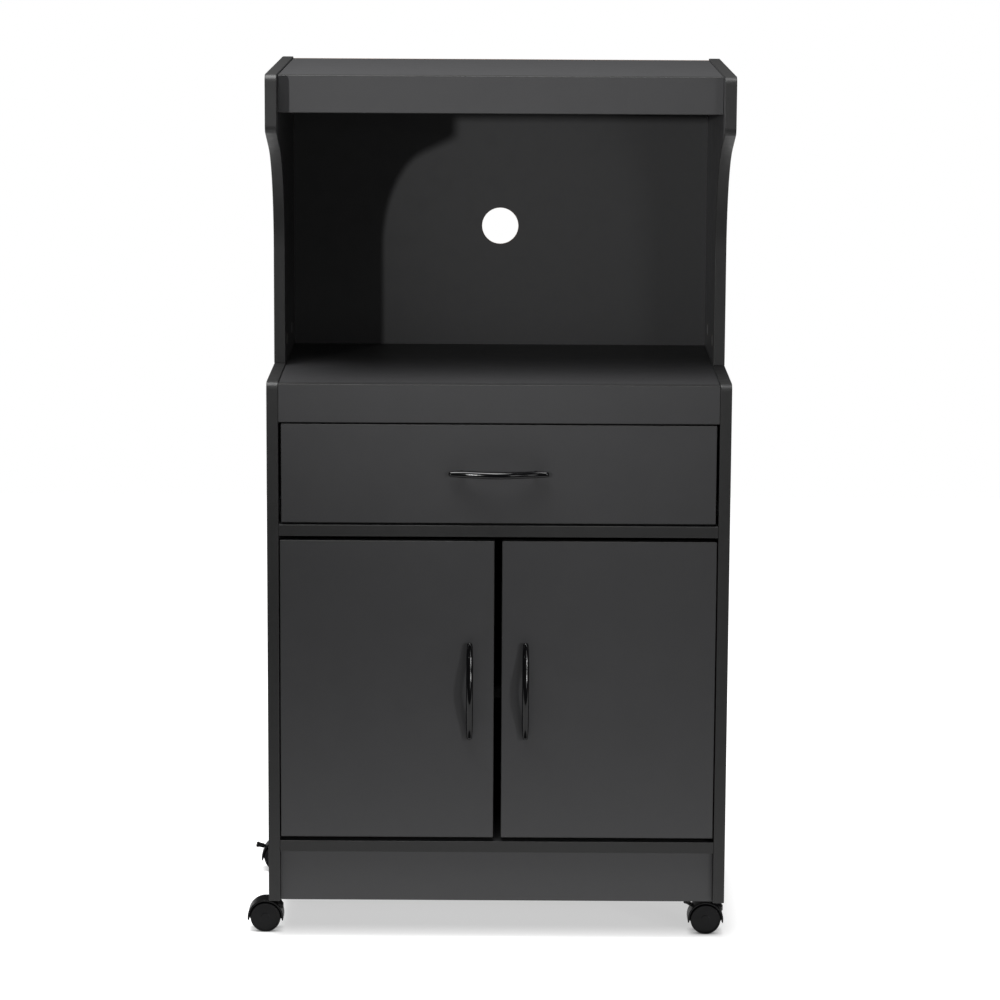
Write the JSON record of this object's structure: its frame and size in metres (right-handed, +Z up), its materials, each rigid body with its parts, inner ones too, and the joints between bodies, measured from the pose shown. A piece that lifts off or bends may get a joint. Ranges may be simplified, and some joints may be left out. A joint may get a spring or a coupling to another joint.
{
  "type": "microwave cart",
  "caption": "Kitchen cart on swivel casters with an open microwave hutch, a drawer, a two-door cupboard and bow handles",
  "frame": {"origin": "on the floor, at the middle of the cart's plan (600 mm wide, 400 mm deep with the back board)", "axes": "+Z up, +Y towards the back, so the front faces -Y; +X to the right as seen from the front"},
  "size_m": [0.6411, 0.422, 1.138],
  "materials": {
    "board": "particle board with a matte charcoal melamine face and matching edge band",
    "hardboard": "thin hardboard with a matte charcoal printed face",
    "handle": "glossy black",
    "caster_plastic": "moulded black nylon, slight sheen",
    "socket_plastic": "moulded black nylon",
    "steel": "zinc-plated steel",
    "hinge_steel": "nickel-plated pressed steel",
    "runner_paint": "epoxy-coated rolled steel",
    "nylon": "white nylon"
  },
  "bodies": {
    "cabinet": {"lower_side_left": "board", "lower_side_right": "board", "hutch_side_left": "board", "hutch_side_right": "board", "top_board": "board", "upper_fascia": "board", "hutch_back": "hardboard", "microwave_shelf": "board", "lower_fascia": "board", "divider_board": "board", "bottom_board": "board", "kick_plate": "board", "lower_back": "hardboard", "inner_shelf": "board", "shelf_pins": "steel", "cam_fittings": "steel", "cabinet_runner_left": "runner_paint", "cabinet_runner_right": "runner_paint", "hinge_arms": "hinge_steel", "hinge_plates": "hinge_steel", "caster_sockets": "socket_plastic"},
    "drawer": {"drawer_front": "board", "drawer_side_left": "board", "drawer_side_right": "board", "drawer_back": "board", "drawer_bottom": "hardboard", "drawer_runner_left": "runner_paint", "drawer_runner_right": "runner_paint", "drawer_handle": "handle", "drawer_handle_screws": "steel"},
    "left_leaf": {"left_door": "board", "left_hinge_cups": "hinge_steel", "left_door_handle": "handle", "left_door_handle_screws": "steel"},
    "right_leaf": {"right_door": "board", "right_hinge_cups": "hinge_steel", "right_door_handle": "handle", "right_door_handle_screws": "steel"},
    "front_roller_left": {"cabinet_roller_left": "nylon"},
    "rear_roller_left": {"drawer_roller_left": "nylon"},
    "front_roller_right": {"cabinet_roller_right": "nylon"},
    "rear_roller_right": {"drawer_roller_right": "nylon"},
    "caster_front_left": {"caster_front_left_hood": "caster_plastic", "caster_front_left_stem": "steel"},
    "wheels_front_left": {"caster_front_left_axle": "steel", "caster_front_left_wheels": "caster_plastic"},
    "caster_front_right": {"caster_front_right_hood": "caster_plastic", "caster_front_right_stem": "steel"},
    "wheels_front_right": {"caster_front_right_axle": "steel", "caster_front_right_wheels": "caster_plastic"},
    "caster_rear_left": {"caster_rear_left_hood": "caster_plastic", "caster_rear_left_stem": "steel"},
    "wheels_rear_left": {"caster_rear_left_axle": "steel", "caster_rear_left_wheels": "caster_plastic"},
    "caster_rear_right": {"caster_rear_right_hood": "caster_plastic", "caster_rear_right_stem": "steel"},
    "wheels_rear_right": {"caster_rear_right_axle": "steel", "caster_rear_right_wheels": "caster_plastic"},
    "brake_rear_left": {"caster_rear_left_brake_lever": "caster_plastic"},
    "brake_front_right": {"caster_front_right_brake_lever": "caster_plastic"}
  },
  "joints": [
    {"name": "drawer_slide", "type": "slide", "parent": "cabinet", "child": "drawer", "axis": [0, -1, 0], "range_m": [0, 0.26]},
    {"name": "left_door_hinge", "type": "hinge", "parent": "cabinet", "child": "left_leaf", "pos_m": [-0.2785, -0.1965, 0.339], "axis": [0, 0, -1], "range_deg": [0, 105]},
    {"name": "right_door_hinge", "type": "hinge", "parent": "cabinet", "child": "right_leaf", "pos_m": [0.2785, -0.1965, 0.339], "axis": [0, 0, 1], "range_deg": [0, 105]},
    {"name": "front_roller_left_spin", "type": "hinge", "parent": "cabinet", "child": "front_roller_left", "pos_m": [-0.27977, -0.169, 0.5778], "axis": [1, 0, 0], "continuous": true},
    {"name": "rear_roller_left_spin", "type": "hinge", "parent": "drawer", "child": "rear_roller_left", "pos_m": [-0.27772, 0.153, 0.5776], "axis": [1, 0, 0], "continuous": true},
    {"name": "front_roller_right_spin", "type": "hinge", "parent": "cabinet", "child": "front_roller_right", "pos_m": [0.27977, -0.169, 0.5778], "axis": [1, 0, 0], "continuous": true},
    {"name": "rear_roller_right_spin", "type": "hinge", "parent": "drawer", "child": "rear_roller_right", "pos_m": [0.27772, 0.153, 0.5776], "axis": [1, 0, 0], "continuous": true},
    {"name": "caster_front_left_swivel", "type": "hinge", "parent": "cabinet", "child": "caster_front_left", "pos_m": [-0.2925, -0.15, 0.0507], "axis": [0, 0, 1], "continuous": true},
    {"name": "wheels_front_left_spin", "type": "hinge", "parent": "caster_front_left", "child": "wheels_front_left", "pos_m": [-0.307, -0.15, 0.02], "axis": [0, 1, 0], "continuous": true},
    {"name": "caster_front_right_swivel", "type": "hinge", "parent": "cabinet", "child": "caster_front_right", "pos_m": [0.2925, -0.15, 0.0507], "axis": [0, 0, 1], "continuous": true},
    {"name": "wheels_front_right_spin", "type": "hinge", "parent": "caster_front_right", "child": "wheels_front_right", "pos_m": [0.278, -0.15, 0.02], "axis": [0, 1, 0], "continuous": true},
    {"name": "caster_rear_left_swivel", "type": "hinge", "parent": "cabinet", "child": "caster_rear_left", "pos_m": [-0.2925, 0.147, 0.0507], "axis": [0, 0, 1], "continuous": true},
    {"name": "wheels_rear_left_spin", "type": "hinge", "parent": "caster_rear_left", "child": "wheels_rear_left", "pos_m": [-0.307, 0.147, 0.02], "axis": [0, 1, 0], "continuous": true},
    {"name": "caster_rear_right_swivel", "type": "hinge", "parent": "cabinet", "child": "caster_rear_right", "pos_m": [0.2925, 0.147, 0.0507], "axis": [0, 0, 1], "continuous": true},
    {"name": "wheels_rear_right_spin", "type": "hinge", "parent": "caster_rear_right", "child": "wheels_rear_right", "pos_m": [0.278, 0.147, 0.02], "axis": [0, 1, 0], "continuous": true},
    {"name": "brake_rear_left_swing", "type": "hinge", "parent": "caster_rear_left", "child": "brake_rear_left", "pos_m": [-0.315, 0.147, 0.031], "axis": [0, 1, 0], "range_deg": [0, 19]},
    {"name": "brake_front_right_swing", "type": "hinge", "parent": "caster_front_right", "child": "brake_front_right", "pos_m": [0.27, -0.15, 0.031], "axis": [0, 1, 0], "range_deg": [-19, 0]}
  ]
}
